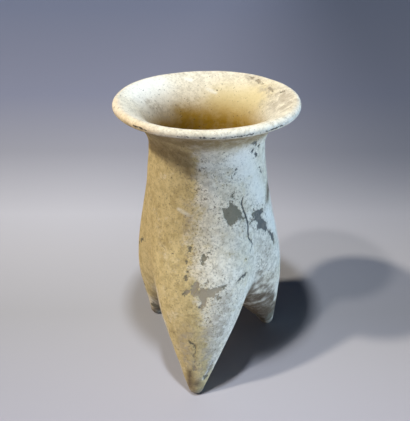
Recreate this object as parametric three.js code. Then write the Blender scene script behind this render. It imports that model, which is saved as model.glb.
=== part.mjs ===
// A hollow fired-clay jar on three pointed legs: a wide bell mouth, a straight neck, and a belly that
// divides into three round bags. Each bag narrows to a solid tip, and the hollow runs down into it.
// Millimetres, +Z up. The origin is on the floor, on the jar's upright axis, and one leg points to -Y.

import * as THREE from 'three';
import { mergeVertices } from 'three/addons/utils/BufferGeometryUtils.js';

// Driving dimensions of the mouth and neck
const HEIGHT = 330;
const RIM_RADIUS = 95;
const LIP_RADIUS = 4.75;
const MOUTH_SLOPE = 21; // degrees from level, where the mouth meets its lip
const MOUTH_DEPTH = 47;
const WALL = 8;
const NECK_RADIUS = 61.5;
const SHOULDER_OVERLAP = 6; // how far above the foot of the mouth the shoulder's curve ends

// Driving dimensions of the three bags and the web between them
const LEGS = 3;
const HIP_RADIUS = 96.7;
const HIP_Z = 84;
const TIP_RADIUS = 9.1;
const FOOT_FLAT_RADIUS = 4;
const BAGS_MEET_DROP = 36; // below the end of the shoulder's curve
const BAG_LEAN = 1.2;
const HOLLOW_END_Z = 44;
const WEB_RADIUS = 65;
const WEB_Z = 132;
const WEB_INSET = 12;
const CROTCH_Z = 84;
const WEB_ROUNDNESS = 2.6;
const VALLEY_BLEND = 10.6;
const VALLEY_FADE = 30;
const SMALLEST_VALLEY = 0.02; // share of the blend that is left where the bags are one

// How finely the faceted body is divided. Crowding is by a ray's angle, in degrees below level.
const COLUMNS_PER_LEG = 20;
const CROWDING = 3.2;
const CROWDING_RISE = [5, 60];
const CROWDING_FALL = [70, 90];
const INNER_SPACING = 0.8;
const OUTER_SPACING = 0.85;
const SPINE_FOOT_Z = 200;
const OUTSIDE_RINGS = { crotch: 8, tip: 9, flank: 12, neck: 6, mouth: 5 };
const INSIDE_RINGS = { crotch: 7, tip: 6, flank: 9, neck: 5, mouth: 6 };
const LIP_STEPS = 6;
const STRIDE = 2;
const HALVINGS = 30;
const MERGE_GAP = 1e-4;

const COLUMNS = LEGS * COLUMNS_PER_LEG;
const LIP_CENTRE_R = RIM_RADIUS - LIP_RADIUS;
const LIP_CENTRE_Z = HEIGHT - LIP_RADIUS;
const THROAT_RADIUS = NECK_RADIUS - WALL;
const FLARE_Z = HEIGHT - MOUTH_DEPTH;
const SHOULDER_END_Z = FLARE_Z + SHOULDER_OVERLAP;
const BAGS_MEET_Z = SHOULDER_END_Z - BAGS_MEET_DROP;
const FOOT_CIRCLE = HIP_RADIUS - TIP_RADIUS;
const FOOT_Z = Math.sqrt(TIP_RADIUS ** 2 - FOOT_FLAT_RADIUS ** 2);

const { clamp, degToRad, lerp, radToDeg, smoothstep } = THREE.MathUtils;

// Outermost reach of a bag from the axis: full at the hip, easing in to the neck above it.
function reachAt(z) {
  const rise = clamp((z - HIP_Z) / (SHOULDER_END_Z - HIP_Z), 0, 1);
  return NECK_RADIUS + (HIP_RADIUS - NECK_RADIUS) * 0.5 * (1 + Math.cos(Math.PI * rise));
}

// How far a bag's own centre line stands from the axis: wide at the foot, on the axis where bags meet.
function leanAt(z) {
  const climb = clamp((z - FOOT_Z) / (BAGS_MEET_Z - FOOT_Z), 0, 1);
  return FOOT_CIRCLE * (1 - climb) ** BAG_LEAN;
}

// Height of the centre of a bag's round lower end: at the foot outside, and higher up in the hollow.
function endHeight(inset) {
  return inset > 0 ? HOLLOW_END_Z : FOOT_Z;
}

// Signed distance, near enough, to one bag whose wall is set in by a thickness.
function bagField(point, leg, inset) {
  const z = Math.max(point.z, endHeight(inset));
  const lean = leanAt(z);
  const heading = (leg * 2 * Math.PI) / LEGS;
  const across = point.x - lean * Math.sin(heading);
  const along = point.y + lean * Math.cos(heading);
  return Math.hypot(across, along, z - point.z) - (reachAt(z) - lean - inset);
}

// Signed distance to the web: an upright drum, closed below by a shallow dome between the bags.
function webField(point, inset) {
  const radius = Math.min(WEB_RADIUS, reachAt(point.z) - WEB_INSET) - inset;
  const drop = WEB_Z - CROTCH_Z - inset;
  const r = Math.hypot(point.x, point.y);
  const below = Math.max(WEB_Z - point.z, 0);
  const n = WEB_ROUNDNESS;
  const level = Math.max(((r / radius) ** n + (below / drop) ** n) ** (1 / n), Number.EPSILON);
  const slopeR = level ** (1 - n) * r ** (n - 1) / radius ** n;
  const slopeZ = level ** (1 - n) * below ** (n - 1) / drop ** n;
  const leastSlope = 1 / (4 * radius);
  return (level - 1) / Math.max(Math.hypot(slopeR, slopeZ), leastSlope);
}

// Web and bags run into each other with a soft valley, and the feet are worn flat on the floor.
function skinField(point, inset) {
  const valley = VALLEY_BLEND * clamp(leanAt(point.z) / VALLEY_FADE, SMALLEST_VALLEY, 1);
  let field = webField(point, inset);
  for (let leg = 0; leg < LEGS; leg += 1) {
    const bag = bagField(point, leg, inset);
    const overlap = Math.max(valley - Math.abs(field - bag), 0) / valley;
    field = Math.min(field, bag) - (overlap * overlap * valley) / 4;
  }
  return Math.max(field, -point.z);
}

// Distance from a point inside the clay's skin to the skin, along a direction.
function distanceToSkin(start, direction, inset) {
  const point = new THREE.Vector3();
  const fieldAt = (distance) => skinField(point.copy(start).addScaledVector(direction, distance), inset);
  let inside = 0;
  while (fieldAt(inside + STRIDE) < 0) inside += STRIDE;
  let outside = inside + STRIDE;
  for (let step = 0; step < HALVINGS; step += 1) {
    const middle = (inside + outside) / 2;
    if (fieldAt(middle) < 0) inside = middle;
    else outside = middle;
  }
  return inside;
}

// Columns stand evenly round the mouth and crowd towards the legs where the legs are thin.
function columnHeading(column, crowding) {
  const leg = Math.round(column / COLUMNS_PER_LEG);
  const side = (2 * (column - leg * COLUMNS_PER_LEG)) / COLUMNS_PER_LEG;
  const spread = crowding > 0 ? Math.sinh(crowding * side) / Math.sinh(crowding) : side;
  return ((2 * leg + spread) * Math.PI) / LEGS;
}

function onHeading(heading, r, z) {
  return new THREE.Vector3(r * Math.sin(heading), -r * Math.cos(heading), z);
}

// A ring turned on the axis, for the mouth.
function turnedRing(r, z) {
  return (column) => onHeading(columnHeading(column, 0), r, z);
}

// A ring of the skin, met from the axis by rays that point down by an angle, in degrees.
function skinRing(startZ, angle, inset) {
  const crowding = CROWDING * smoothstep(angle, ...CROWDING_RISE) * (1 - smoothstep(angle, ...CROWDING_FALL));
  return (column) => {
    const heading = columnHeading(column, crowding);
    const start = new THREE.Vector3(0, 0, startZ);
    const down = degToRad(angle);
    const direction = onHeading(heading, Math.cos(down), -Math.sin(down));
    return start.addScaledVector(direction, distanceToSkin(start, direction, inset));
  };
}

function steps(count, make) {
  return Array.from({ length: count }, (unused, index) => make(index / count));
}

// Angle, seen from the spine's foot, of a point on a bag's outermost line.
function angleOfReach(z, inset) {
  return radToDeg(Math.atan2(SPINE_FOOT_Z - z, reachAt(z) - inset));
}

// Angle at which a ray from the spine's foot grazes the inner side of a bag's round lower end.
function angleOfTip(inset) {
  const z = endHeight(inset);
  const lean = leanAt(z);
  const drop = SPINE_FOOT_Z - z;
  const radius = reachAt(z) - lean - inset;
  return radToDeg(Math.atan2(drop, lean) + Math.asin(radius / Math.hypot(drop, lean)));
}

// Rings of one skin, from the crotch out to the tips of the legs and up to the neck.
function skinRings(inset, rings) {
  const endZ = endHeight(inset);
  const innerAngle = angleOfTip(inset);
  const outerAngle = angleOfReach(endZ, inset);
  const fan = (angle) => skinRing(SPINE_FOOT_Z, angle, inset);
  const flank = (part) => lerp(endZ, SPINE_FOOT_Z, part ** OUTER_SPACING);
  return [
    ...steps(rings.crotch, (part) => fan(lerp(90, innerAngle, part ** INNER_SPACING))),
    ...steps(rings.tip, (part) => fan(lerp(innerAngle, outerAngle, part))),
    ...steps(rings.flank, (part) => fan(angleOfReach(flank(part), inset))),
    ...steps(rings.neck, (part) => skinRing(lerp(SPINE_FOOT_Z, FLARE_Z, part), 0, inset)),
  ];
}

// Part of an ellipse that leaves the neck upright and meets the lip at the mouth's slope. A side of 1 is
// the underside of the mouth and -1 the inside of it.
function flareRings(neckRadius, side, count) {
  const slope = degToRad(MOUTH_SLOPE);
  const width = LIP_CENTRE_R + side * LIP_RADIUS * Math.sin(slope) - neckRadius;
  const rise = LIP_CENTRE_Z - side * LIP_RADIUS * Math.cos(slope) - FLARE_Z;
  const sweep = Math.acos(1 / (rise / width / Math.tan(slope) - 1));
  return steps(count, (part) => {
    const out = (width * (1 - Math.cos(part * sweep))) / (1 - Math.cos(sweep));
    const up = (rise * Math.sin(part * sweep)) / Math.sin(sweep);
    return turnedRing(neckRadius + out, FLARE_Z + up);
  });
}

// The rolled lip, half a turn from where it meets the underside to where it meets the inside.
function lipRings() {
  const turn = (part) => degToRad(MOUTH_SLOPE) + (part * (LIP_STEPS + 1) * Math.PI) / LIP_STEPS;
  return steps(LIP_STEPS + 1, (part) => {
    const r = LIP_CENTRE_R + LIP_RADIUS * Math.sin(turn(part));
    return turnedRing(r, LIP_CENTRE_Z - LIP_RADIUS * Math.cos(turn(part)));
  });
}

// All rings in order: up the outside, over the lip and down the inside.
function jarRings() {
  const outside = [...skinRings(0, OUTSIDE_RINGS), ...flareRings(NECK_RADIUS, 1, OUTSIDE_RINGS.mouth)];
  const inside = [...skinRings(WALL, INSIDE_RINGS), ...flareRings(THROAT_RADIUS, -1, INSIDE_RINGS.mouth)];
  return [...outside, ...lipRings(), ...inside.reverse()];
}

// A turned body whose points are then moved to their places on the jar.
function jarGeometry() {
  const rings = jarRings();
  const profile = rings.map((ring, index) => new THREE.Vector2(1, index));
  const geometry = new THREE.LatheGeometry(profile, COLUMNS);
  geometry.deleteAttribute('normal');
  geometry.deleteAttribute('uv');
  const position = geometry.getAttribute('position');
  for (let vertex = 0; vertex < position.count; vertex += 1) {
    const column = Math.floor(vertex / rings.length) % COLUMNS;
    const place = rings[vertex % rings.length](column);
    position.setXYZ(vertex, place.x, place.y, place.z);
  }
  return withoutSlivers(mergeVertices(geometry, MERGE_GAP));
}

// The triangles round each pole collapse to a line where the turned rings close, and are left out.
function withoutSlivers(geometry) {
  const corners = Array.from(geometry.index.array);
  const kept = [];
  for (let start = 0; start < corners.length; start += 3) {
    const [a, b, c] = corners.slice(start, start + 3);
    if (a !== b && b !== c && c !== a) kept.push(a, b, c);
  }
  geometry.setIndex(kept);
  geometry.computeVertexNormals();
  return geometry;
}

const firedClay = new THREE.MeshStandardMaterial({ color: 0xd3c8b0, roughness: 0.9, metalness: 0 });
const jar = new THREE.Mesh(jarGeometry(), firedClay);
jar.name = 'tripod_vase';

const part = new THREE.Group();
part.add(jar);

export default part;
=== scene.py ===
import math
import random

import bpy
import numpy as np
from mathutils import Euler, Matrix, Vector, noise
from mathutils.bvhtree import BVHTree


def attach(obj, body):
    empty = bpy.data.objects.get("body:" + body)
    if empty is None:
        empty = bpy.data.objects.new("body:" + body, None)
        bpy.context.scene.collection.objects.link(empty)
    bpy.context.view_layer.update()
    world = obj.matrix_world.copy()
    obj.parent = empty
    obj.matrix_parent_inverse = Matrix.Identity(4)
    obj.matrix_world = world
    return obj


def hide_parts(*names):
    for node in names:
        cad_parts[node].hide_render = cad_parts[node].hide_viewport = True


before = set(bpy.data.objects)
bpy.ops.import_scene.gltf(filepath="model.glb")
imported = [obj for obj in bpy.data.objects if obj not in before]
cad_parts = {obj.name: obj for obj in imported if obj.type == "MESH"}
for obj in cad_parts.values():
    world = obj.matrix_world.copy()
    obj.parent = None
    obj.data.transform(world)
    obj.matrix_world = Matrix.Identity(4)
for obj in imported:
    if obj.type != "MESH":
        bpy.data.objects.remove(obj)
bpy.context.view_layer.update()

# Units: lengths named here are millimetres, and Blender's are metres
MM = 0.001

# Driving dimensions of the mouth and neck
HEIGHT = 330.0
RIM_RADIUS = 95.0
LIP_RADIUS = 4.75
MOUTH_SLOPE = math.radians(21)
MOUTH_DEPTH = 47.0
WALL = 8.0
NECK_RADIUS = 61.5
SHOULDER_OVERLAP = 6.0

# Driving dimensions of the three bags and the web between them
LEGS = 3
HIP_RADIUS = 96.7
HIP_Z = 84.0
TIP_RADIUS = 9.1
FOOT_FLAT_RADIUS = 4.0
BAGS_MEET_DROP = 36.0
BAG_LEAN = 1.2
HOLLOW_END_Z = 44.0
WEB_RADIUS = 65.0
WEB_Z = 132.0
WEB_INSET = 12.0
CROTCH_Z = 84.0
WEB_ROUNDNESS = 2.6
VALLEY_BLEND = 10.6
VALLEY_FADE = 30.0
SMALLEST_VALLEY = 0.02

# How finely the surface is divided. Crowding is by a ray's angle, in degrees below level. A ray goes on in
# strides until it leaves the skin, and then the last stride is halved again and again.
COLUMNS_PER_LEG = 104
CROWDING = 3.0
CROWDING_RISE = (5, 60)
CROWDING_FALL = (70, 90)
INNER_SPACING = 0.8
OUTER_SPACING = 0.85
SPINE_FOOT_Z = 200.0
OUTSIDE_RINGS = {"crotch": 56, "tip": 30, "flank": 76, "neck": 30, "mouth": 24}
INSIDE_RINGS = {"crotch": 8, "tip": 8, "flank": 14, "neck": 12, "mouth": 26}
LIP_STEPS = 12
STRIDE = 2.0
HALVINGS = 24
TINY = 1e-9

COLUMNS = LEGS * COLUMNS_PER_LEG
LIP_CENTRE_R = RIM_RADIUS - LIP_RADIUS
LIP_CENTRE_Z = HEIGHT - LIP_RADIUS
THROAT_RADIUS = NECK_RADIUS - WALL
FLARE_Z = HEIGHT - MOUTH_DEPTH
SHOULDER_END_Z = FLARE_Z + SHOULDER_OVERLAP
BAGS_MEET_Z = SHOULDER_END_Z - BAGS_MEET_DROP
FOOT_CIRCLE = HIP_RADIUS - TIP_RADIUS
FOOT_Z = math.sqrt(TIP_RADIUS**2 - FOOT_FLAT_RADIUS**2)

# The camera, fitted to the photograph in its own frame of 410 by 421 pixels
PHOTO_WIDTH = 410
PHOTO_HEIGHT = 421
FOCAL_PIXELS = 537.0
AXIS_SHIFT_PIXELS = 1.7
CAMERA_MM = (73.4, -522.1, 506.35)
CAMERA_DOWN = math.radians(30.5)
CAMERA_TURN = math.radians(8)
SENSOR_MM = 36.0
NEAREST_SEEN = 0.01

# How much the hand-built surface wanders, as pairs of lump size and depth, in millimetres. Lumps fade out
# where the mesh is too coarse for them, by its longest edge as a share of their size, and near the floor.
FORM_LUMPS = ((80, 0.9), (30, 0.4), (11, 0.14), (5, 0.07))
FORM_SEED = 3
COARSE_MESH = (0.25, 0.5)
NEAR_FLOOR = (0.5, 12)
LIP_WAVE = 0.7
LIP_WAVE_LENGTH = 70
LIP_WAVE_SEED = 12

# How far a seed shifts the noise along each axis, and the scale that flattens a place to its plan
SEED_STEPS = (17.3, 5.1, 9.7)
LEVEL = (1, 1, 0)

# Patches worn through the slip, and cracks: how far a patch's edge wanders, in what lumps and how near the
# edge, and how deep each is cut, with the distances into it over which it deepens. All are in millimetres.
EDGE_WANDER = 2.8
EDGE_LUMP = 6.0
EDGE_SEED = 1
EDGE_BAND = 6.0
LOSS_DEPTH = 0.45
LOSS_STEP = (-0.6, 0.9)
CRACK_DEPTH = 0.5
CRACK_STEP = (-1.2, 0.4)

# Heights between which painted shade darkens the inside into the throat, painted shade gathers under the
# lip, that shade and the dirt end at the lip's own side, and soil with painted shade on the feet ends. The
# last value is how much soil and painted shade the feet have.
THROAT = (282, 320)
SHADE_UNDER_LIP = (292, 308)
LIP_SIDE = (320.5, 323.5)
FOOT_HEIGHT = (3, 22)
FOOT_SOIL_AND_SHADE = 0.8

# Where soil and painted shade cling under the belly and on the inner sides of the legs, in metres from the
# axis and up. The last two are how far a lump of soil and painted shade fades outside and inside its edge.
SOIL_AND_SHADE_REACH = (0.084, 0.062)
SOIL_AND_SHADE_HEIGHT = (0.085, 0.045)
SOIL_AND_SHADE_FADE = (0.011, 0.009)

# Noises of the fired clay: the size of a lump in millimetres, detail and roughness
NOISES = {
    "cloud": (45, 4, 0.55),
    "drift": (26, 3, 0.6),
    "patchy": (16, 6, 0.7),
    "blot": (14, 5, 0.65),
    "blotch": (9, 5, 0.7),
    "mottle": (7, 6, 0.7),
    "brushed": (3.5, 4, 0.65),
    "ragged": (3.4, 5, 0.75),
    "grain": (2.6, 4, 0.7),
}
BRUSH_STRETCH = (1, 1, 0.25)

# Noises that swing both ways: the value taken off first, and what the rest is multiplied by
SWINGS = {
    "patchy": (0.5, 2.4),
    "ragged": (0.5, 13.0),
    "soil": (0.5, 0.035),
    "drift": (0.57, 0.08),
}

# Ramps: the values where each starts and ends, and then what it gives there, where that isn't 0 and 1
RAMPS = {
    "cloud": (0.42, 0.62),
    "blot": (0.45, 0.62),
    "mottle": (0.42, 0.62),
    "brushed": (0.36, 0.64),
    "tan": (0.05, 0.95),
    # Painted shade under the lip and in the throat, broken up by blotches
    "painted_shade": (0.35, 0.60, 0.6, 1.0),
    "pepper": (0.48, 0.66, 0.0, 0.36),
    "throat": (0.35, 0.60, 0.86, 1.0),
    "stain": (0.42, 0.58, 0.1, 0.8),
    "soil": (0.36, 0.54, 0.75, 1.0),
    "dust under painted light": (0.0, 1.0, 1.0, 0.35),
    "weather in shelter": (0.0, 1.0, 1.0, 0.8),
    "specks near bare clay": (9.0, 0.0, 0.0, 0.6),
    "specks on tan": (0.3, 1.0, 1.0, 0.45),
    "specks in shelter": (0.0, 1.0, 1.0, 0.4),
    "speck drift": (0.35, 0.65, 0.0, 0.05),
    "speck edge": (0.0, 0.035),
    "bare": (0.45, -0.45),
    "browned clay": (0.45, 0.75, 0.0, 0.5),
    "crack": (0.5, -0.2),
    "painted_lip_shadow": (0.35, 0.75),
    "roughness": (0.3, 0.7, 0.82, 0.97),
    "pits": (0.03, 0.20),
}

# How strongly each layer or noise comes through
SHARES = {
    "mottle in tan": 0.26,
    "blots in tan": 0.4,
    "clouds": 0.20,
    # Shares of painted light: on the right of the neck, on the mouth's two sides and the lip's left end,
    # and of pale wear with a painted highlight
    "painted_light_right": 0.3,
    "painted_light_mouth_left": 0.6,
    "painted_warm_light_mouth_right": 0.85,
    "painted_warm_light_lip": 0.3,
    "pale": 0.55,
    "soil and shade below": 0.85,
    "soil wander": 0.5,
    "bare": 0.96,
    "crack": 0.92,
    "painted_lip_shadow": 0.9,
    "ragged tan": 0.10,
    "ragged crack": 0.15,
    "ragged painted lip shadow": 0.3,
}

# Specks of dirt: the size of their noise, its limits where they are sparse and dense, and their strength
SPECKS = {
    "fine": (2.4, 0.67, 0.60, 0.65),
    "coarse": (5.0, 0.75, 0.675, 0.8),
}
SPECK_NOISE = (3, 0.65)
SPECK_DRIFT = (3, 0.6)
SPECK_DRIFT_SIZE = 7

# Relief too fine for the mesh: the parts of grain, pits and blotches, and sizes in millimetres. Then gloss.
GRAIN_RELIEF = 0.9
PIT_RELIEF = 0.3
BLOTCH_RELIEF = 1.4
PIT_SIZE = 3.2
RELIEF_DEPTH = 0.45
SLIP_THICKNESS = 0.30
CLAY_GLOSS = 0.2

# Colours of the clay, its slip and its dirt, and of the light and shade painted on it, as linear red, green
# and blue
SLIP_PALE = (0.78, 0.72, 0.58, 1)
SLIP_GREY = (0.60, 0.545, 0.425, 1)
SLIP_TAN = (0.66, 0.54, 0.28, 1)
SLIP_OLIVE = (0.44, 0.34, 0.155, 1)
# Pale of worn slip, and of painted light and a painted highlight
SLIP_WORN_AND_LIT = (0.86, 0.86, 0.80, 1)
STAIN_GREY = (0.42, 0.36, 0.27, 1)
# Brown of the painted shade: the lip's shadow on the neck, and shade in the throat
PAINTED_SHADE_BROWN = (0.29, 0.215, 0.10, 1)
CLAY_GREY = (0.175, 0.16, 0.11, 1)
CLAY_BROWN = (0.32, 0.27, 0.19, 1)
CLAY_DARK = (0.105, 0.105, 0.095, 1)
SOIL_BROWN = (0.13, 0.095, 0.06, 1)
SPECK_BROWN = (0.17, 0.135, 0.09, 1)
# Warm brown of the painted shade deep in the throat
THROAT_SHADE_TAN = (0.37, 0.21, 0.015, 1)
# Orange of the painted warm light on the lip's left end
LIP_PAINTED_WARM_LIGHT = (0.80, 0.56, 0.33, 1)
CRACK_DARK = (0.07, 0.07, 0.065, 1)
# Dark of the painted shadow line under the lip's edge
PAINTED_LIP_SHADOW_DARK = (0.05, 0.045, 0.04, 1)

# The floor is a sheet of paper with light and shade painted on it: a painted band of light behind the jar,
# a painted falloff to a blue grey beyond it, and painted shade on its far right. Distances are in metres,
# behind the jar or to its right.
FLOOR_REACH = 6.0
FLOOR_TONES = (
    (-0.2, (0.52, 0.52, 0.62, 1)),
    (0.05, (0.50, 0.50, 0.54, 1)),
    (0.20, (0.62, 0.62, 0.68, 1)),
    (0.32, (0.70, 0.71, 0.80, 1)),
    (0.60, (0.47, 0.49, 0.60, 1)),
    (1.0, (0.37, 0.41, 0.60, 1)),
    (2.4, (0.30, 0.36, 0.58, 1)),
)
SHADE_TONE = (0.08, 0.11, 0.18, 1)
SHADE_ACROSS = (-0.35, 0.45)
SHADE_BEHIND = (-0.2, 0.6)
SHADE_AMOUNT = 0.68
FLOOR_ROUGHNESS = 0.9
FLOOR_GLOSS = 0.1

# Broad studio lights: heading from the front in degrees, positive to the right, height above level in
# degrees, spread in degrees, strength, and colour. The low ones are flagged off the floor and light the
# jar alone.
SUNS = {
    "key": (-61, 52, 3.5, 1.62, (1.0, 0.91, 0.74)),
    "second_key": (-41, 51, 3.5, 0.62, (1.0, 0.93, 0.84)),
    "warm_side": (-95, 3, 8, 0.65, (1.0, 0.64, 0.20)),
    "cool_side": (82, 2.5, 8, 3.2, (0.43, 0.67, 1.0)),
    "front_fill": (12, 3, 8, 0.26, (0.95, 0.95, 1.0)),
}
SUN_DISTANCE = 2.0
JAR_ALONE = ("warm_side", "cool_side", "front_fill")

# The near lamp overhead: the same angles, then its distance and side in metres, power in watts and colour
OVERHEAD = (-5, 77, 0.93, 0.06, 5.4, (0.88, 0.94, 1.0))

# Height, in metres, that the lamps aim at
AIM_Z = 0.17

# The sky is pale along the horizon and dark overhead. The heights are sines of the angle above level.
SKY_LOW = (0.13, 0.16, 0.225, 1)
SKY_HIGH = (0.004, 0.008, 0.020, 1)
SKY_FADE = (0.15, 0.35)

# Marks on the sides that the photograph doesn't show, by heading from the front in degrees: how many there
# are, their half widths, and how far apart their points are, in millimetres
HIDDEN_SEED = 41
SHOWN_HEADINGS = (-70, 95)
LOWEST_HIDDEN = 12
HIDDEN_POINTS = 4
HIDDEN_TURN = 0.9
HIDDEN_MARKS = {
    "bare patches": (9, (1, 5), (3, 8)),
    "bare flecks": (50, (0.4, 1.3), (1, 4)),
    "tan": (5, (10, 24), (18, 34)),
    "stain": (9, (3, 8), (8, 18)),
    "speckle": (9, (5, 12), (10, 24)),
    "soil": (3, (2, 6), (5, 10)),
}

# Marks that the photograph shows. Each stroke is a list of points, and each point is a pixel across, a
# pixel down and the stroke's half width there in millimetres.
BARE_CLAY_STROKES = {
    "belly patch, tip": [(230, 199, 0.8), (230, 204, 3.2), (231, 209, 5.0)],
    "belly patch, body": [(229, 211, 4.6), (231, 215, 7.4), (232, 219, 6.4), (230, 223, 2.4)],
    "belly patch, right": [(236, 210, 3.0), (238, 214, 3.0), (239, 217, 2.0)],
    "belly patch, arm": [(240, 217.5, 1.2), (247, 216.5, 1.0)],
    "belly fleck above": [(233, 195, 1.1), (234, 197, 1.0)],
    "belly fleck left": [(223.5, 209, 0.9), (225, 212, 1.2)],
    "right patch, head": [(252, 214, 2.0), (257, 214, 4.6), (262, 211, 2.2)],
    "right patch, body": [(257, 216, 4.6), (260, 221, 4.6), (264, 226, 4.0), (266, 230, 1.8)],
    "right patch, tail": [(255, 218, 1.8), (250, 223, 1.0)],
    "right patch, foot": [(258, 227, 2.0), (262, 226, 2.4)],
    "right fleck above": [(253.5, 206, 0.8), (254, 209, 0.9)],
    "edge patch": [(268, 231, 1.6), (272, 235, 3.2), (274, 241, 2.2)],
    "leg patch, horn": [(197, 282, 1.4), (195, 287, 3.4), (193, 292, 3.6)],
    "leg patch, body": [
        (194, 293, 3.0), (201, 293, 4.2), (208, 293, 4.8), (214, 295, 3.0), (219, 298, 1.0),
    ],
    "leg patch, root": [(203, 297, 4.4), (203, 303, 3.4), (201, 308, 2.0)],
    "leg patch, wing": [(215, 291, 2.0), (220, 288.5, 2.8), (226, 286, 1.6)],
    "leg patch, left": [(189, 291, 2.0), (192, 293, 2.8)],
    "leg patch, left flecks": [(183, 295, 1.2), (186, 292, 2.0), (190, 293, 1.2)],
    "spot": [(190, 250, 1.4), (191, 247, 1.9), (192, 245, 1.2)],
    "chain of specks": [(187, 262, 0.7), (188, 265, 1.1)],
    "chain of specks, middle": [(189, 269, 0.7), (188, 272, 1.1)],
    "chain of specks, low": [(186, 277, 1.1), (186, 281, 1.3)],
    "hook": [(203, 263, 1.7), (204, 259, 2.1), (205, 256, 1.9), (207, 259, 1.3)],
    "tick": [(209, 252.5, 0.8), (213, 251, 1.0), (216, 249, 1.2), (216, 253, 0.8)],
    "small spot over the leg": [(206, 281, 1.1), (206, 284, 1.4)],
    "streak": [(237, 282, 1.1), (241, 277, 1.9), (246, 273, 1.3)],
    "neck flake, high": [(254, 142, 1.6), (258, 146, 1.8), (254, 149, 1.2)],
    "neck flake, low": [(252, 152, 1.0), (256, 155, 1.3)],
    "neck flake, right": [(259, 167, 0.9), (261, 172, 1.2)],
    "neck flake, middle": [(236, 170, 0.8), (234, 175, 1.2)],
    "tip edge": [(213, 361, 1.1), (210, 368, 2.2), (205, 377, 2.2)],
    "tip specks": [(195, 361, 1.0), (195, 365, 1.3), (194, 370, 0.9)],
    "gouge": [(189, 342, 0.7), (194, 345, 1.2), (196, 350, 1.3), (194, 355, 0.8)],
    "back lip flecks": [(248, 77, 0.8), (252, 78.5, 1.1)],
    "back lip patch": [(256, 81, 1.3), (259, 82, 1.7), (262, 84, 1.4)],
    "right lip flecks": [(270, 88, 0.8), (273, 92, 0.9)],
    "right lip fleck": [(279, 91, 0.7), (283, 92, 0.8)],
}
CRACK_STROKES = {
    "long crack": [
        (243, 197, 0.6), (241, 203, 0.9), (243, 210, 0.9), (246, 217, 1.0),
        (248, 225, 1.0), (248, 233, 0.9), (249, 239, 0.9), (253, 244, 0.7),
    ],
    "crack end": [(252, 246, 0.6), (250, 252, 0.4)],
    "crack spur": [(249, 239, 0.5), (252, 240, 0.5)],
    "foot line": [(196, 309, 0.3), (200, 307.5, 0.5)],
}

# Soil and painted shade on the shaded side of the right leg, a stroke as above
LEG_SOIL_AND_SHADE = [(249, 292, 12.0), (255, 299, 17.0), (260, 306, 20.0), (266, 313, 19.0)]
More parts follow.
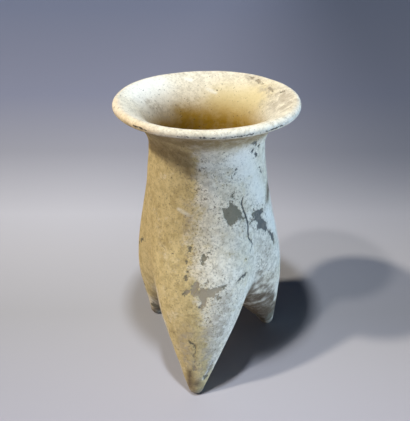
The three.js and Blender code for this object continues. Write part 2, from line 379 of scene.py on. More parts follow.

# Regions that only change colour, some of them with painted light and some with painted shade, as marked
# below. Each has the distances outside and inside its edge, in millimetres, over which it fades, and then
# its strokes.
REGIONS = {
    "tan": (20, 8, {
        "neck": [(158, 142, 35.0), (160, 175, 36.0), (160, 200, 37.0)],
        "belly": [(160, 200, 37.0), (158, 235, 37.0), (158, 262, 33.0)],
        "left edge": [(151, 150, 20.0), (147, 215, 26.0), (145, 250, 26.0), (147, 275, 14.0)],
        "left leg": [(147, 278, 14.0), (150, 292, 10.0)],
        "leg": [(162, 262, 30.0), (174, 300, 24.0), (184, 340, 22.0), (193, 380, 14.0)],
    }),
    # Painted light: the mouth's inner left wall lightened where the cool light falls
    "painted_light_mouth_left": (30, 0, {
        "left": [(142, 96, 4.0), (156, 88, 5.0), (150, 104, 5.0)],
    }),
    # Painted warm light on the mouth's inner right wall
    "painted_warm_light_mouth_right": (34, 0, {
        "right": [(225, 104, 5.0), (240, 104, 6.0), (256, 98, 3.0)],
    }),
    "soil": (8, 4, {
        "foot tip": [(197, 384, 3.5), (196, 394, 8.0)],
        "foot tip, left": [(190, 372, 1.5), (190, 386, 4.0)],
        "left leg tip": [(158, 306, 3.0), (159, 310, 5.0)],
    }),
    "stain": (8, 3, {
        "back lip": [(248, 77, 2.0), (258, 82, 3.0)],
        "right lip": [(264, 88, 4.0), (280, 94, 6.0), (292, 102, 7.0)],
        "right lip, low": [(266, 100, 5.0), (288, 108, 6.0)],
        "belly, far right": [(262, 242, 5.0), (269, 252, 5.0)],
        "mouth, left": [(150, 104, 4.0), (162, 112, 5.0), (172, 118, 4.0)],
        "belly": [(187, 205, 1.0), (189, 215, 2.0), (188, 230, 1.0)],
        "lower leg": [(186, 330, 5.0), (184, 350, 5.0), (190, 365, 5.0)],
        "leg, smudge": [(202, 341, 3.0), (206, 334, 4.0), (210, 328, 3.0)],
        "leg, right": [(226, 300, 5.0), (220, 322, 9.0), (211, 350, 8.0), (204, 375, 6.0)],
    }),
    "speckle": (14, 4, {
        "lower leg": [(208, 275, 14.0), (212, 300, 16.0), (205, 335, 16.0), (198, 375, 12.0)],
        "belly, edge of the tan": [(186, 176, 4.0), (190, 200, 5.0), (190, 235, 6.0)],
        "belly, left of the patches": [(205, 245, 10.0), (190, 262, 7.0), (184, 285, 5.0)],
        "belly, over the patches": [(232, 185, 8.0), (246, 195, 9.0), (262, 215, 8.0)],
        "belly, round the patches": [(226, 212, 9.0), (240, 222, 9.0), (262, 226, 8.0)],
        "neck": [(196, 158, 3.0), (200, 170, 2.0), (197, 184, 3.0), (205, 200, 4.0)],
        "mouth, right": [(262, 84, 7.0), (284, 98, 8.0), (262, 108, 7.0)],
        "hip, right": [(262, 262, 9.0), (272, 275, 8.0)],
    }),
    # Painted shadow: a dark line along the lower edge of the lip, where it overhangs the neck
    "painted_lip_shadow": (1.3, 0.5, {
        "lip, under left": [(133, 125, 0.4), (140, 127.8, 0.6), (147, 130.5, 0.1)],
        "lip, under front left": [(176, 136.5, 0.0), (184, 137.5, 0.2), (192, 138, 0.0)],
        "lip, under front": [(200, 138.5, 0.5), (204, 138.8, 0.9), (208, 138.8, 0.2), (216, 138.5, 0.2)],
        "lip, under right": [(220, 138.3, 0.1), (236, 137, 0.5), (252, 134.5, 0.3), (262, 132.5, 0.1)],
        "lip, under far right": [(264, 132, 0.2), (275, 128.5, 0.6), (283, 125, 0.1)],
    }),
    # Painted shade in brown: the lip's shadow cast on the neck, a painted shadow under the lip at the
    # front, and shade at the throat's left
    "painted_shade": (13, 4, {
        "neck, under the lip": [(152, 144, 4.0), (162, 148, 7.0), (172, 152, 8.0), (181, 158, 7.0)],
        "neck, lower edge": [(181, 158, 7.0), (187, 167, 3.0), (190, 172, 1.0)],
        "neck, front": [(198, 144, 3.0), (218, 145, 2.0), (236, 142, 1.0)],
        "throat, left": [(178, 110, 1.0), (190, 117, 4.0), (204, 121, 4.0)],
    }),
    # Painted light: the slip lightened on the right of the neck and hip, where the cool light falls, with
    # fewer specks there
    "painted_light_right": (16, 8, {
        "neck, right": [(240, 156, 4.0), (248, 168, 8.0), (254, 184, 8.0), (260, 194, 6.0)],
        "hip, right": [(268, 214, 4.0), (274, 224, 3.0)],
    }),
    # Painted warm light on the lip's left end
    "painted_warm_light_lip": (7, 3, {
        "left": [(115, 100, 2.0), (117, 110, 3.0), (127, 120, 3.0), (140, 127, 2.0), (156, 132, 0.5)],
    }),
    # Pale marks: worn scrapes, and a painted highlight, the glint in the mouth
    "pale": (2.6, 1.0, {
        "scrape on the belly": [(178, 209, 0.7), (183, 212, 1.1), (188, 215, 0.8)],
        "glint in the mouth": [(207, 89, 0.4), (212, 91, 1.2), (216, 93, 0.4)],
        "worn mouth": [(186, 79, 1.2), (191, 80, 1.6)],
        "worn foot edge": [(213, 360, 0.6), (209, 369, 0.9), (203, 379, 0.8)],
    }),
    "brown_clay": (4, 4, {
        "back lip": [(252, 79, 5.0), (275, 90, 8.0)],
        "leg": [(203, 292, 20.0), (203, 310, 10.0)],
        "foot": [(205, 365, 16.0)],
    }),
    "dark_clay": (3, 3, {
        "right patch": [(258, 218, 11.0), (262, 228, 9.0), (273, 236, 6.0)],
        "neck flakes": [(255, 148, 10.0), (260, 170, 6.0), (235, 172, 5.0)],
        "streak": [(241, 277, 7.0)],
    }),
}


def reach_at(z):
    """Outermost reach of a bag from the axis: full at the hip, easing in to the neck above it."""
    rise = np.clip((z - HIP_Z) / (SHOULDER_END_Z - HIP_Z), 0, 1)
    return NECK_RADIUS + (HIP_RADIUS - NECK_RADIUS) * 0.5 * (1 + np.cos(np.pi * rise))


def lean_at(z):
    """How far a bag's own centre line stands from the axis."""
    climb = np.clip((z - FOOT_Z) / (BAGS_MEET_Z - FOOT_Z), 0, 1)
    return FOOT_CIRCLE * (1 - climb) ** BAG_LEAN


def end_height(inset):
    """Height of the centre of a bag's round lower end: at the foot outside, higher up in the hollow."""
    return HOLLOW_END_Z if inset > 0 else FOOT_Z


def bag_field(points, leg, inset):
    """Signed distance, near enough, to one bag whose wall is set in by a thickness."""
    z = np.maximum(points[:, 2], end_height(inset))
    lean = lean_at(z)
    heading = leg * 2 * math.pi / LEGS
    across = points[:, 0] - lean * math.sin(heading)
    along = points[:, 1] + lean * math.cos(heading)
    distance = np.sqrt(across**2 + along**2 + (z - points[:, 2]) ** 2)
    return distance - (reach_at(z) - lean - inset)


def web_field(points, inset):
    """Signed distance to the web: an upright drum, closed below by a shallow dome between the bags."""
    radius = np.minimum(WEB_RADIUS, reach_at(points[:, 2]) - WEB_INSET) - inset
    drop = WEB_Z - CROTCH_Z - inset
    r = np.hypot(points[:, 0], points[:, 1])
    below = np.maximum(WEB_Z - points[:, 2], 0)
    n = WEB_ROUNDNESS
    level = np.maximum(((r / radius) ** n + (below / drop) ** n) ** (1 / n), TINY)
    slope_r = level ** (1 - n) * r ** (n - 1) / radius**n
    slope_z = level ** (1 - n) * below ** (n - 1) / drop**n
    return (level - 1) / np.maximum(np.hypot(slope_r, slope_z), 1 / (4 * radius))


def skin_field(points, inset):
    """Web and bags run into each other with a soft valley, and the feet are worn flat on the floor."""
    valley = VALLEY_BLEND * np.clip(lean_at(points[:, 2]) / VALLEY_FADE, SMALLEST_VALLEY, 1)
    field = web_field(points, inset)
    for leg in range(LEGS):
        bag = bag_field(points, leg, inset)
        overlap = np.maximum(valley - np.abs(field - bag), 0) / valley
        field = np.minimum(field, bag) - overlap**2 * valley / 4
    return np.maximum(field, -points[:, 2])


def meet_skin(starts, directions, inset):
    """Points where rays that start inside the skin first meet it."""
    inside = np.zeros(len(starts))
    going = np.arange(len(starts))
    while len(going):
        ahead = starts[going] + directions[going] * (inside[going] + STRIDE)[:, None]
        going = going[skin_field(ahead, inset) < 0]
        inside[going] += STRIDE
    outside = inside + STRIDE
    for _ in range(HALVINGS):
        middle = (inside + outside) / 2
        within = skin_field(starts + directions * middle[:, None], inset) < 0
        inside = np.where(within, middle, inside)
        outside = np.where(within, outside, middle)
    return starts + directions * inside[:, None]


def smoothstep(value, low, high):
    share = np.clip((value - low) / (high - low), 0, 1)
    return share * share * (3 - 2 * share)


def column_headings(crowding):
    """Columns stand evenly round the mouth and crowd towards the legs where the legs are thin."""
    column = np.arange(COLUMNS)
    leg = np.round(column / COLUMNS_PER_LEG)
    side = 2 * (column - leg * COLUMNS_PER_LEG) / COLUMNS_PER_LEG
    spread = np.sinh(crowding * side) / math.sinh(crowding) if crowding > 0 else side
    return (2 * leg + spread) * math.pi / LEGS


def on_headings(headings, r, z):
    return np.column_stack([r * np.sin(headings), -r * np.cos(headings), np.full(len(headings), z)])


def turned_ring(r, z):
    return on_headings(column_headings(0), r, z)


def skin_ring(start_z, angle, inset):
    """A ring of the skin, met from the axis by rays that point down by an angle, in degrees."""
    fade = 1 - smoothstep(angle, *CROWDING_FALL)
    headings = column_headings(float(CROWDING * smoothstep(angle, *CROWDING_RISE) * fade))
    down = math.radians(angle)
    directions = on_headings(headings, math.cos(down), -math.sin(down))
    starts = np.tile([0.0, 0.0, start_z], (COLUMNS, 1))
    return meet_skin(starts, directions, inset)


def lerp(start, end, share):
    return start + (end - start) * share


def steps(count, make):
    return [make(index / count) for index in range(count)]


def angle_of_reach(z, inset):
    """Angle, seen from the spine's foot, of a point on a bag's outermost line."""
    return math.degrees(math.atan2(SPINE_FOOT_Z - z, reach_at(z) - inset))


def angle_of_tip(inset):
    """Angle at which a ray from the spine's foot grazes the inner side of a bag's round lower end."""
    z = end_height(inset)
    lean = lean_at(z)
    drop = SPINE_FOOT_Z - z
    radius = reach_at(z) - lean - inset
    return math.degrees(math.atan2(drop, lean) + math.asin(radius / math.hypot(drop, lean)))


def skin_rings(inset, rings):
    """Rings of one skin, from the crotch out to the tips of the legs and up to the neck."""
    end_z = end_height(inset)
    inner = angle_of_tip(inset)
    outer = angle_of_reach(end_z, inset)

    def fan(angle):
        return skin_ring(SPINE_FOOT_Z, angle, inset)

    def flank(share):
        return fan(angle_of_reach(lerp(end_z, SPINE_FOOT_Z, share**OUTER_SPACING), inset))

    return [
        *steps(rings["crotch"], lambda share: fan(lerp(90, inner, share**INNER_SPACING))),
        *steps(rings["tip"], lambda share: fan(lerp(inner, outer, share))),
        *steps(rings["flank"], flank),
        *steps(rings["neck"], lambda share: skin_ring(lerp(SPINE_FOOT_Z, FLARE_Z, share), 0, inset)),
    ]


def flare_rings(neck_radius, side, count):
    """Part of an ellipse from the upright neck to the lip. A side of 1 is under the mouth, -1 inside it."""
    width = LIP_CENTRE_R + side * LIP_RADIUS * math.sin(MOUTH_SLOPE) - neck_radius
    rise = LIP_CENTRE_Z - side * LIP_RADIUS * math.cos(MOUTH_SLOPE) - FLARE_Z
    sweep = math.acos(1 / (rise / width / math.tan(MOUTH_SLOPE) - 1))

    def ring(share):
        out = width * (1 - math.cos(share * sweep)) / (1 - math.cos(sweep))
        up = rise * math.sin(share * sweep) / math.sin(sweep)
        return turned_ring(neck_radius + out, FLARE_Z + up)

    return steps(count, ring)


def lip_rings():
    """The rolled lip, half a turn from where it meets the underside to where it meets the inside."""

    def ring(share):
        turn = MOUTH_SLOPE + share * (LIP_STEPS + 1) * math.pi / LIP_STEPS
        r = LIP_CENTRE_R + LIP_RADIUS * math.sin(turn)
        return turned_ring(r, LIP_CENTRE_Z - LIP_RADIUS * math.cos(turn))

    return steps(LIP_STEPS + 1, ring)


def jar_faces(count):
    """Quads between a number of rings, and triangles to the poles under the belly and in the hollow."""
    column = np.arange(COLUMNS)
    after = (column + 1) % COLUMNS
    ring = np.arange(count - 1)[:, None] * COLUMNS
    quads = np.stack([ring + column, ring + after, ring + COLUMNS + after, ring + COLUMNS + column], -1)
    last = (count - 1) * COLUMNS
    under_pole, hollow_pole = count * COLUMNS, count * COLUMNS + 1
    under = np.column_stack([after, column, np.full(COLUMNS, under_pole)])
    hollow = np.column_stack([last + column, last + after, np.full(COLUMNS, hollow_pole)])
    return [*quads.reshape(-1, 4).tolist(), *under.tolist(), *hollow.tolist()]


def jar_surface():
    """Points and faces of the jar, and how far each point is inside it, from 0 outside to 1 inside."""
    outside = [*skin_rings(0, OUTSIDE_RINGS), *flare_rings(NECK_RADIUS, 1, OUTSIDE_RINGS["mouth"])]
    lip = lip_rings()
    inside = [*skin_rings(WALL, INSIDE_RINGS), *flare_rings(THROAT_RADIUS, -1, INSIDE_RINGS["mouth"])]
    rings = [*outside, *lip, *reversed(inside)]
    under_pole, hollow_pole = rings[0][0], rings[-1][0]
    points = np.vstack([*rings[1:-1], under_pole, hollow_pole])
    depths = [np.zeros(len(outside) - 1), np.linspace(0, 1, len(lip)), np.ones(len(inside) - 1)]
    depth = np.concatenate([np.repeat(np.concatenate(depths), COLUMNS), [0, 1]])
    return points, jar_faces(len(rings) - 2), depth


def make_mesh(name, points, faces):
    mesh = bpy.data.meshes.new(name)
    mesh.from_pydata((points * MM).tolist(), [], faces)
    mesh.update()
    return mesh


def mesh_normals(mesh):
    normals = np.zeros(len(mesh.vertices) * 3, np.float32)
    mesh.vertices.foreach_get("normal", normals)
    return normals.reshape(-1, 3).astype(float)


def longest_edges(mesh, points):
    """Length of the longest edge at each point."""
    edges = np.zeros(len(mesh.edges) * 2, np.int32)
    mesh.edges.foreach_get("vertices", edges)
    starts, ends = edges[::2], edges[1::2]
    lengths = np.linalg.norm(points[starts] - points[ends], axis=1)
    longest = np.zeros(len(points))
    np.maximum.at(longest, starts, lengths)
    np.maximum.at(longest, ends, lengths)
    return longest


def photo_ray(across, down):
    """A ray, in metres, from the camera through a pixel of the photograph."""
    x = (across - PHOTO_WIDTH / 2 - AXIS_SHIFT_PIXELS) / FOCAL_PIXELS
    y = (PHOTO_HEIGHT / 2 - down) / FOCAL_PIXELS
    direction = Vector((x, y, -1)).normalized()
    direction.rotate(camera_turn())
    return Vector(CAMERA_MM) * MM, direction


def camera_turn():
    return Euler((math.pi / 2 - CAMERA_DOWN, 0, CAMERA_TURN))


def place_stroke(surface, stroke):
    """A stroke's pixels, cast on to the jar: rows of x, y, z and half width, in millimetres."""
    placed = []
    for across, down, half_width in stroke:
        hit = surface.ray_cast(*photo_ray(across, down))[0]
        if hit is not None:
            placed.append([*(hit / MM), half_width])
    return placed


def place_strokes(surface, strokes):
    return [place_stroke(surface, stroke) for stroke in strokes.values()]


def distance_to_stroke(points, stroke):
    """Signed distance from points to a stroke that is a chain of tapered capsules."""
    stroke = np.array(stroke, float)
    if len(stroke) == 1:
        stroke = np.repeat(stroke, 2, axis=0)
    nearest = np.full(len(points), np.inf)
    for start, end in zip(stroke[:-1], stroke[1:]):
        along = end[:3] - start[:3]
        share = np.clip((points - start[:3]) @ along / max(along @ along, TINY), 0, 1)
        centre = start[:3] + share[:, None] * along
        half_width = start[3] + share * (end[3] - start[3])
        nearest = np.minimum(nearest, np.linalg.norm(points - centre, axis=1) - half_width)
    return nearest


def distance_to_strokes(points, strokes):
    nearest = np.full(len(points), np.inf)
    for stroke in strokes:
        if stroke:
            nearest = np.minimum(nearest, distance_to_stroke(points, stroke))
    return nearest


def noise_at(points, size, seed):
    """Smooth noise from about -1 to 1, with lumps of a size in millimetres."""
    offset = Vector([seed * step for step in SEED_STEPS])
    return np.array([noise.noise(Vector(point) / size + offset) for point in points])


def hidden_strokes(points, normals, count, widths, lengths, seed):
    """Strokes that wander over the outside of the sides that the photograph doesn't show."""
    draw = random.Random(seed)
    heading = np.degrees(np.arctan2(points[:, 0], -points[:, 1]))
    hidden = (heading < SHOWN_HEADINGS[0]) | (heading > SHOWN_HEADINGS[1])
    choices = np.flatnonzero(hidden & (points[:, 2] > LOWEST_HIDDEN) & (points[:, 2] < FLARE_Z))
    strokes = []
    for _ in range(count):
        vertex = int(draw.choice(choices))
        place, normal = points[vertex], normals[vertex]
        turn = draw.uniform(0, 2 * math.pi)
        stroke = []
        for _ in range(HIDDEN_POINTS):
            stroke.append([*place, draw.uniform(*widths)])
            turn += draw.uniform(-HIDDEN_TURN, HIDDEN_TURN)
            level = np.cross(normal, [0, 0, 1])
            level /= max(np.linalg.norm(level), TINY)
            step = math.cos(turn) * level + math.sin(turn) * np.cross(level, normal)
            place = place + step * draw.uniform(*lengths)
        strokes.append(stroke)
    return strokes


def hidden_marks(points, normals):
    return {
        name: hidden_strokes(points, normals, *marks, HIDDEN_SEED + index)
        for index, (name, marks) in enumerate(HIDDEN_MARKS.items())
    }


def set_attribute(mesh, name, values):
    attribute = mesh.attributes.new(name, "FLOAT", "POINT")
    attribute.data.foreach_set("value", np.asarray(values, np.float32))


def surface_values(points, depth, surface, hidden):
    """What the material reads at each point: distances to marks in millimetres, and shares from 0 to 1."""
    patches = [*place_strokes(surface, BARE_CLAY_STROKES), *hidden["bare patches"], *hidden["bare flecks"]]
    bare = distance_to_strokes(points, patches)
    bare += noise_at(points, EDGE_LUMP, EDGE_SEED) * EDGE_WANDER * smoothstep(-bare, -EDGE_BAND, 0)
    crack = distance_to_strokes(points, place_strokes(surface, CRACK_STROKES))
    values = {"bare": bare, "crack": crack, "inside": depth}
    for name, (_, _, strokes) in REGIONS.items():
        placed = [*place_strokes(surface, strokes), *hidden.get(name, [])]
        values[name] = distance_to_strokes(points, placed)
    z = points[:, 2]
    lip_side = smoothstep(z, *LIP_SIDE)
    # Painted shade, warm-tinted, deepening down the inside into the throat
    values["throat"] = depth * (1 - smoothstep(z, *THROAT))
    values["sheltered"] = np.maximum(depth, lip_side)
    # Painted shade on the underside of the flare, below the lip, all round
    values["shade_under_lip"] = (1 - depth) * (1 - lip_side) * smoothstep(z, *SHADE_UNDER_LIP)
    # Soil and painted shade on the feet, darkest at the floor
    values["foot"] = FOOT_SOIL_AND_SHADE * (1 - smoothstep(z, *FOOT_HEIGHT))
    return values


def shape_by_hand(points, normals, edges, bare, crack):
    """The points moved by the unevenness of a hand-built jar, its worn patches and its cracks."""
    moved = np.zeros(len(points))
    for seed, (size, amount) in enumerate(FORM_LUMPS, FORM_SEED):
        moved += noise_at(points, size, seed) * amount * (1 - smoothstep(edges / size, *COARSE_MESH))
    moved *= smoothstep(points[:, 2], *NEAR_FLOOR)
    moved -= LOSS_DEPTH * smoothstep(-bare, *LOSS_STEP)
    moved -= CRACK_DEPTH * smoothstep(-crack, *CRACK_STEP)
    shaped = points + normals * moved[:, None]
    lip = smoothstep(shaped[:, 2], FLARE_Z, HEIGHT)
    shaped[:, 2] += lip * LIP_WAVE * noise_at(shaped * LEVEL, LIP_WAVE_LENGTH, LIP_WAVE_SEED)
    shaped[:, 2] = np.maximum(shaped[:, 2], 0)
    return shaped


def make_vase():
    points, faces, depth = jar_surface()
    mesh = make_mesh("clay_vase", points, faces)
    normals = mesh_normals(mesh)
    surface = BVHTree.FromPolygons((points * MM).tolist(), faces)
    outside = depth == 0
    hidden = hidden_marks(points[outside], normals[outside])
    values = surface_values(points, depth, surface, hidden)
    edges = longest_edges(mesh, points)
    shaped = shape_by_hand(points, normals, edges, values["bare"], values["crack"])

    mesh.vertices.foreach_set("co", (shaped * MM).astype(np.float32).ravel())
    mesh.update()
    mesh.shade_smooth()
    for name, value in values.items():
        set_attribute(mesh, name, value)
    # The fired clay, with soil and painted shade on the right leg's shaded side
    mesh.materials.append(fired_clay(place_stroke(surface, LEG_SOIL_AND_SHADE)))
    vase = bpy.data.objects.new("clay_vase", mesh)
    bpy.context.scene.collection.objects.link(vase)
    return vase


class Tree:
    """A material's node tree. Its methods add nodes and return the last one's output."""

    def __init__(self, name):
        self.material = bpy.data.materials.new(name)
        self.material.use_nodes = True
        self.tree = self.material.node_tree
        self.shader = self.tree.nodes["Principled BSDF"]

    def add(self, kind, inputs, output=0, **settings):
        node = self.tree.nodes.new(kind)
        for name, value in settings.items():
            setattr(node, name, value)
        for name, value in inputs.items():
            self.set(node.inputs[name], value)
        return node.outputs[output]

    def set(self, socket, value):
        if isinstance(value, bpy.types.NodeSocket):
            self.tree.links.new(value, socket)
        else:
            socket.default_value = value

    def attribute(self, name):
        return self.add("ShaderNodeAttribute", {}, "Fac", attribute_name=name)

    def region(self, name):
        """How far each point is in a region, from 0 beyond its edge to 1 well within it."""
        outside, inside = REGIONS[name][:2]
        return self.ramp(self.attribute(name), outside, -inside)

    def place(self):
        return self.add("ShaderNodeTexCoord", {}, "Object")

    def stretch(self, place, scale):
        return self.add("ShaderNodeMapping", {"Vector": place, "Scale": scale})

    def noise(self, place, size, detail, roughness):
        inputs = {"Vector": place, "Scale": 1 / (size * MM), "Detail": detail, "Roughness": roughness}
        return self.add("ShaderNodeTexNoise", inputs)

    def mask(self, place, name):
        """A noise, brought by its ramp to what lies between 0 and 1."""
        return self.ramp(self.noise(place, *NOISES[name]), *RAMPS[name])

    def swing(self, value, name):
        """A noise that swings both ways about its middle."""
        middle, amount = SWINGS[name]
        return self.times(self.math("SUBTRACT", value, middle), amount)

    def cells(self, place, size):
        inputs = {"Vector": place, "Scale": 1 / (size * MM)}
        return self.add("ShaderNodeTexVoronoi", inputs, "Distance")

    def math(self, operation, first, second):
        return self.add("ShaderNodeMath", {0: first, 1: second}, operation=operation)

    def times(self, first, *others):
        for other in others:
            first = self.math("MULTIPLY", first, other)
        return first

    def ramp(self, value, low, high, start=0.0, end=1.0):
        inputs = {"Value": value, "From Min": low, "From Max": high, "To Min": start, "To Max": end}
        return self.add("ShaderNodeMapRange", inputs, interpolation_type="SMOOTHSTEP")

    def mix(self, factor, first, second):
        inputs = {0: factor, 6: first, 7: second}
        return self.add("ShaderNodeMix", inputs, 2, data_type="RGBA")

    def bump(self, height, distance, normal=None):
        inputs = {"Height": height, "Distance": distance * MM, "Strength": 1.0}
        if normal is not None:
            inputs["Normal"] = normal
        return self.add("ShaderNodeBump", inputs)


def slip_colour(t, place, mottle, ragged):
    """Pale slip, greyer in small clouds, and stained tan where soil lay on it."""
    brushed = t.mask(t.stretch(place, BRUSH_STRETCH), "brushed")
    mottled = t.times(t.math("ADD", mottle, brushed), SHARES["mottle in tan"])
    blots = t.times(t.mask(place, "blot"), SHARES["blots in tan"])
    tan = t.mix(t.math("ADD", mottled, blots), SLIP_TAN, SLIP_OLIVE)
    patchy = t.swing(t.noise(place, *NOISES["patchy"]), "patchy")
    stained = t.math("ADD", t.region("tan"), t.times(ragged, SHARES["ragged tan"]))
    stained = t.ramp(t.math("ADD", stained, patchy), *RAMPS["tan"])
    stained = t.math("ADD", stained, t.times(t.mask(place, "cloud"), SHARES["clouds"]))
    outside = t.math("SUBTRACT", 1.0, t.attribute("inside"))
    pale = t.mix(mottle, SLIP_PALE, SLIP_GREY)
    return t.mix(t.times(t.math("MINIMUM", stained, 1.0), outside), pale, tan)


def stained_slip(t, place, blotch, grain, ragged, weathered):
    """The slip with its stains and smears, and with light and shade painted on it: painted light on the
    right of the neck, a painted shadow under the lip, painted light on the mouth's two sides and on the
    lip's left end, painted shade into the throat, and pale wear with a painted highlight in the mouth.
    """
    mottle = t.times(t.mask(place, "mottle"), weathered)
    colour = slip_colour(t, place, mottle, ragged)
    # Painted light on the right of the neck and hip
    colour = t.mix(t.times(t.region("painted_light_right"), SHARES["painted_light_right"]), colour, SLIP_WORN_AND_LIT)
    # Painted shade: the lip's shadow on the neck and the shade under the lip, browned by blotches
    painted_shade = t.math("MAXIMUM", t.region("painted_shade"), t.attribute("shade_under_lip"))
    colour = t.mix(t.times(painted_shade, t.ramp(blotch, *RAMPS["painted_shade"])), colour, PAINTED_SHADE_BROWN)
    colour = t.mix(t.times(t.ramp(grain, *RAMPS["pepper"]), weathered), colour, SPECK_BROWN)
    inside = t.attribute("inside")
    # Painted light on the mouth's inner left wall
    colour = t.mix(t.times(t.region("painted_light_mouth_left"), inside, SHARES["painted_light_mouth_left"]), colour, SLIP_WORN_AND_LIT)
    # Painted warm light on the mouth's inner right wall
    colour = t.mix(t.times(t.region("painted_warm_light_mouth_right"), inside, SHARES["painted_warm_light_mouth_right"]), colour, SLIP_TAN)
    # Painted warm light on the lip's left end
    colour = t.mix(t.times(t.region("painted_warm_light_lip"), SHARES["painted_warm_light_lip"]), colour, LIP_PAINTED_WARM_LIGHT)
    # Painted shade darkening the inside into the throat
    colour = t.mix(t.times(t.attribute("throat"), t.ramp(blotch, *RAMPS["throat"])), colour, THROAT_SHADE_TAN)
    colour = t.mix(t.times(t.region("stain"), t.ramp(blotch, *RAMPS["stain"])), colour, STAIN_GREY)
    # Pale wear, with a painted highlight in the mouth
    return t.mix(t.times(t.region("pale"), SHARES["pale"]), colour, SLIP_WORN_AND_LIT)


def soil_and_shade_below(t, place, blotch, lumps):
    """How much soil and painted shade cling to a place: by its distance to the axis and its height, or to a
    lump of soil and painted shade.
    """
    reach = t.add("ShaderNodeVectorMath", {0: t.stretch(place, LEVEL)}, "Value", operation="LENGTH")
    height = t.add("ShaderNodeSeparateXYZ", {0: place}, "Z")
    wander = t.swing(blotch, "soil")
    # Soil and painted shade under the belly and on the inner sides of the legs
    inner = t.ramp(t.math("ADD", reach, wander), *SOIL_AND_SHADE_REACH)
    low = t.ramp(t.math("ADD", height, wander), *SOIL_AND_SHADE_HEIGHT)
    soil = t.times(inner, low, SHARES["soil and shade below"])
    drift = t.swing(t.noise(place, *NOISES["drift"]), "drift")
    wander = t.math("ADD", t.times(wander, SHARES["soil wander"]), drift)
    for x, y, z, half_width in lumps:
        centre = (x * MM, y * MM, z * MM)
        away = t.add("ShaderNodeVectorMath", {0: place, 1: centre}, "Value", operation="DISTANCE")
        outside, inside = half_width * MM + SOIL_AND_SHADE_FADE[0], half_width * MM - SOIL_AND_SHADE_FADE[1]
        soil = t.math("MAXIMUM", soil, t.ramp(t.math("ADD", away, wander), outside, inside))
    return soil


def soiled_and_shaded(t, place, blotch, colour, lumps):
    """A colour with soil and painted shade over it on the feet, under the belly and on the right leg."""
    soil = t.math("MAXIMUM", t.region("soil"), t.attribute("foot"))
    soil = t.math("MAXIMUM", soil, soil_and_shade_below(t, place, blotch, lumps))
    return t.mix(t.times(soil, t.ramp(blotch, *RAMPS["soil"])), colour, SOIL_BROWN)


def specks(t, place, size, sparse, dense, share):
    """Dots of dirt. A share of 0 keeps only the sparse ones and 1 brings in the dense ones too."""
    dots = t.noise(place, size, *SPECK_NOISE)
    drift = t.ramp(t.noise(place, size * SPECK_DRIFT_SIZE, *SPECK_DRIFT), *RAMPS["speck drift"])
    limit = t.math("SUBTRACT", t.ramp(share, 0, 1, sparse, dense), drift)
    return t.ramp(t.math("SUBTRACT", dots, limit), *RAMPS["speck edge"])


def specked(t, place, colour, weathered):
    """A colour with specks of dirt over it: denser by the bare patches, fewer on the tan and in shelter."""
    near = t.ramp(t.attribute("bare"), *RAMPS["specks near bare clay"])
    share = t.math("MAXIMUM", t.region("speckle"), near)
    spared = t.times(weathered, t.ramp(t.region("tan"), *RAMPS["specks on tan"]))
    spared = t.times(spared, t.ramp(t.attribute("sheltered"), *RAMPS["specks in shelter"]))
    for size, sparse, dense, strength in SPECKS.values():
        dots = t.times(specks(t, place, size, sparse, dense, share), spared)
        colour = t.mix(t.times(dots, strength), colour, SPECK_BROWN)
    return colour


def bare_clay(t, blotch):
    """The clay under the slip: grey, browner on the leg and darker on the right."""
    colour = t.mix(t.region("brown_clay"), CLAY_GREY, CLAY_BROWN)
    colour = t.mix(t.region("dark_clay"), colour, CLAY_DARK)
    return t.mix(t.ramp(blotch, *RAMPS["browned clay"]), colour, CLAY_BROWN)


def clay_relief(t, place, blotch, grain, worn):
    """Grain, pits and blotches in relief, and the edge of the slip round what is worn away."""
    pits = t.ramp(t.cells(place, PIT_SIZE), *RAMPS["pits"])
    height = t.math("ADD", t.times(grain, GRAIN_RELIEF), t.times(pits, PIT_RELIEF))
    height = t.math("ADD", height, t.times(blotch, BLOTCH_RELIEF))
    normal = t.bump(height, RELIEF_DEPTH)
    return t.bump(t.math("SUBTRACT", 1.0, worn), SLIP_THICKNESS, normal)


def fired_clay(soil_and_shade_lumps):
    """Matt pale slip over grey clay, worn through in patches, with soil in the pores, and with light and
    shade painted on it in places.
    """
    t = Tree("fired_clay")
    place = t.place()
    blotch = t.noise(place, *NOISES["blotch"])
    grain = t.noise(place, *NOISES["grain"])
    ragged = t.swing(t.noise(place, *NOISES["ragged"]), "ragged")
    # Less mottle and fewer specks where the painted light on the right is
    dusty = t.ramp(t.region("painted_light_right"), *RAMPS["dust under painted light"])
    weathered = t.times(t.ramp(t.attribute("sheltered"), *RAMPS["weather in shelter"]), dusty)

    colour = stained_slip(t, place, blotch, grain, ragged, weathered)
    colour = soiled_and_shaded(t, place, blotch, colour, soil_and_shade_lumps)
    colour = specked(t, place, colour, weathered)
    bare = t.ramp(t.math("ADD", t.attribute("bare"), ragged), *RAMPS["bare"])
    colour = t.mix(t.times(bare, SHARES["bare"]), colour, bare_clay(t, blotch))
    crack = t.math("ADD", t.attribute("crack"), t.times(ragged, SHARES["ragged crack"]))
    crack = t.ramp(crack, *RAMPS["crack"])
    colour = t.mix(t.times(crack, SHARES["crack"]), colour, CRACK_DARK)
    # Painted shadow line under the lip's edge, with a ragged edge
    painted_lip_shadow = t.math("ADD", t.region("painted_lip_shadow"), t.times(ragged, SHARES["ragged painted lip shadow"]))
    painted_lip_shadow = t.ramp(painted_lip_shadow, *RAMPS["painted_lip_shadow"])
    colour = t.mix(t.times(painted_lip_shadow, SHARES["painted_lip_shadow"]), colour, PAINTED_LIP_SHADOW_DARK)

    t.set(t.shader.inputs["Base Color"], colour)
    t.set(t.shader.inputs["Roughness"], t.ramp(grain, *RAMPS["roughness"]))
    t.shader.inputs["Specular IOR Level"].default_value = CLAY_GLOSS
    worn = t.math("MAXIMUM", bare, crack)
    t.set(t.shader.inputs["Normal"], clay_relief(t, place, blotch, grain, worn))
    return t.material


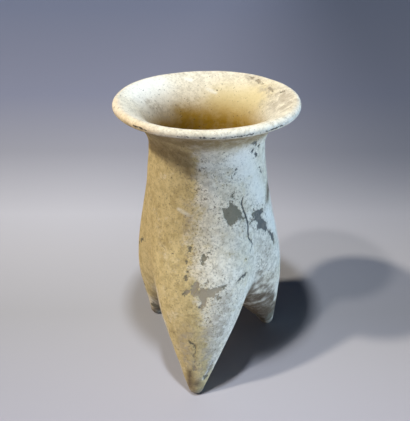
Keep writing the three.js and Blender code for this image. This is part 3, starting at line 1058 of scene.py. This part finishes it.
def floor_paper():
    t = Tree("floor_paper")
    heading = (-math.sin(CAMERA_TURN), math.cos(CAMERA_TURN), 0)
    behind = t.add("ShaderNodeVectorMath", {0: t.place(), 1: heading}, "Value", operation="DOT_PRODUCT")
    across = t.add("ShaderNodeSeparateXYZ", {0: t.place()}, "X")
    # Painted band of light behind the jar and painted falloff beyond it, by distance behind
    nearest, farthest = FLOOR_TONES[0][0], FLOOR_TONES[-1][0]
    ramp = t.tree.nodes.new("ShaderNodeValToRGB")
    t.set(ramp.inputs[0], t.math("DIVIDE", t.math("SUBTRACT", behind, nearest), farthest - nearest))
    stops = ramp.color_ramp.elements
    stops[0].color, stops[1].color = FLOOR_TONES[0][1], FLOOR_TONES[-1][1]
    for distance, tone in FLOOR_TONES[1:-1]:
        stops.new((distance - nearest) / (farthest - nearest)).color = tone
    # Painted shade over the floor's far right, behind the jar
    shade = t.times(t.ramp(across, *SHADE_ACROSS), t.ramp(behind, *SHADE_BEHIND), SHADE_AMOUNT)
    t.set(t.shader.inputs["Base Color"], t.mix(shade, ramp.outputs[0], SHADE_TONE))
    t.shader.inputs["Roughness"].default_value = FLOOR_ROUGHNESS
    t.shader.inputs["Specular IOR Level"].default_value = FLOOR_GLOSS
    return t.material


def make_floor():
    corners = [(-FLOOR_REACH, -FLOOR_REACH, 0), (FLOOR_REACH, -FLOOR_REACH, 0)]
    corners += [(FLOOR_REACH, FLOOR_REACH, 0), (-FLOOR_REACH, FLOOR_REACH, 0)]
    mesh = bpy.data.meshes.new("floor")
    mesh.from_pydata(corners, [], [(0, 1, 2, 3)])
    mesh.materials.append(floor_paper())
    floor = bpy.data.objects.new("floor", mesh)
    bpy.context.scene.collection.objects.link(floor)


def add_light(kind, name, heading, height, distance, colour):
    light = bpy.data.lights.new(name, kind)
    light.color = colour
    turn, lift = math.radians(heading), math.radians(height)
    towards = Vector((math.sin(turn) * math.cos(lift), -math.cos(turn) * math.cos(lift), math.sin(lift)))
    lamp = bpy.data.objects.new(name, light)
    lamp.location = Vector((0, 0, AIM_Z)) + towards * distance
    lamp.rotation_euler = towards.to_track_quat("Z", "Y").to_euler()
    lamp.visible_camera = False
    bpy.context.scene.collection.objects.link(lamp)
    return lamp


def make_lights(vase):
    jar_alone = bpy.data.collections.new("jar_alone")
    jar_alone.objects.link(vase)
    for name, (heading, height, spread, strength, colour) in SUNS.items():
        sun = add_light("SUN", name, heading, height, SUN_DISTANCE, colour)
        sun.data.angle = math.radians(spread)
        sun.data.energy = strength
        if name in JAR_ALONE:
            sun.light_linking.receiver_collection = jar_alone
    heading, height, distance, side, power, colour = OVERHEAD
    overhead = add_light("AREA", "overhead", heading, height, distance, colour)
    overhead.data.size = side
    overhead.data.energy = power


def make_sky():
    world = bpy.data.worlds.new("sky")
    world.use_nodes = True
    tree = world.node_tree
    place = tree.nodes.new("ShaderNodeTexCoord")
    height = tree.nodes.new("ShaderNodeSeparateXYZ")
    fade = tree.nodes.new("ShaderNodeMapRange")
    fade.inputs["From Min"].default_value, fade.inputs["From Max"].default_value = SKY_FADE
    tones = tree.nodes.new("ShaderNodeMix")
    tones.data_type = "RGBA"
    tones.inputs[6].default_value, tones.inputs[7].default_value = SKY_LOW, SKY_HIGH
    tree.links.new(place.outputs["Generated"], height.inputs[0])
    tree.links.new(height.outputs["Z"], fade.inputs["Value"])
    tree.links.new(fade.outputs[0], tones.inputs[0])
    tree.links.new(tones.outputs[2], tree.nodes["Background"].inputs["Color"])
    bpy.context.scene.world = world


def make_camera():
    data = bpy.data.cameras.new("camera")
    data.sensor_width = SENSOR_MM
    data.lens = FOCAL_PIXELS * SENSOR_MM / PHOTO_HEIGHT
    data.shift_x = -AXIS_SHIFT_PIXELS / PHOTO_HEIGHT
    data.clip_start = NEAREST_SEEN
    camera = bpy.data.objects.new("camera", data)
    camera.location = Vector(CAMERA_MM) * MM
    camera.rotation_euler = camera_turn()
    bpy.context.scene.collection.objects.link(camera)
    bpy.context.scene.camera = camera


def build():
    vase = make_vase()
    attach(vase, "root")
    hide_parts("tripod_vase")
    make_floor()
    make_lights(vase)
    make_sky()
    make_camera()
    bpy.context.scene.view_settings.view_transform = "Standard"


build()
